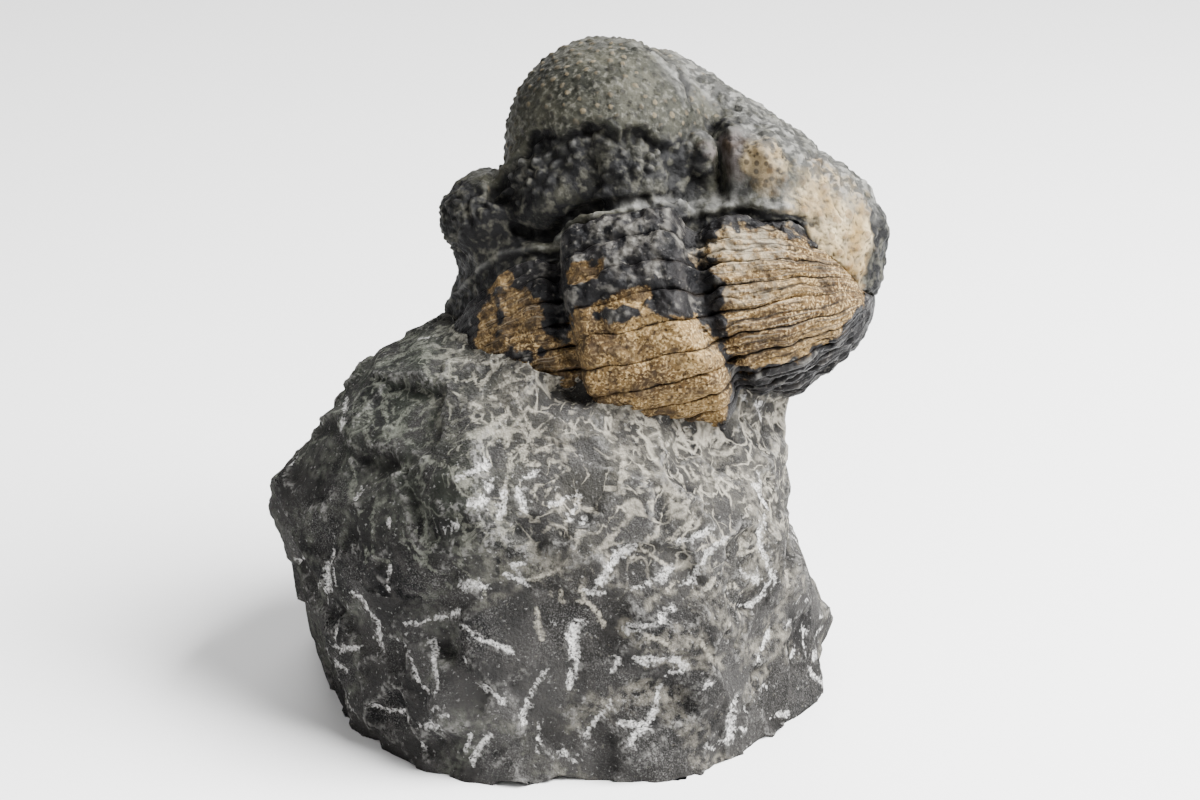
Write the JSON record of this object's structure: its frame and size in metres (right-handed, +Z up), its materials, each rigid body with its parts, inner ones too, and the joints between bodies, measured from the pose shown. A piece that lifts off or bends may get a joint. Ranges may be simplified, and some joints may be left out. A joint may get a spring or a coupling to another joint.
{
  "type": "enrolled trilobite fossil on matrix",
  "caption": "Trilobite fossil rolled into a ball, head over tail, with ribbed body plates, still seated on its chipped block of dark limestone.",
  "frame": {"origin": "middle of the flat foot that the block of limestone stands on", "axes": "+Z up, +X to the trilobite's right as seen from behind it, +Y from the ribs towards the front of the head"},
  "size_m": [0.0892, 0.0769, 0.0942],
  "materials": {
    "head_shell": "grey-green fossil shell with fine pustules and pale dust in its furrows",
    "rib_calcite": "granular tan calcite with patches of black shell",
    "tail_shell": "dark ribbed fossil shell",
    "limestone": "dark chipped limestone with pale tool bruises"
  },
  "bodies": {
    "root": {"cephalon": "head_shell", "thorax_segment_01": "rib_calcite", "thorax_segment_02": "rib_calcite", "thorax_segment_03": "rib_calcite", "thorax_segment_04": "rib_calcite", "thorax_segment_05": "rib_calcite", "thorax_segment_06": "rib_calcite", "thorax_segment_07": "rib_calcite", "thorax_segment_08": "rib_calcite", "thorax_segment_09": "rib_calcite", "thorax_segment_10": "rib_calcite", "thorax_segment_11": "rib_calcite", "pygidium": "tail_shell", "matrix_block": "limestone"}
  },
  "joints": []
}
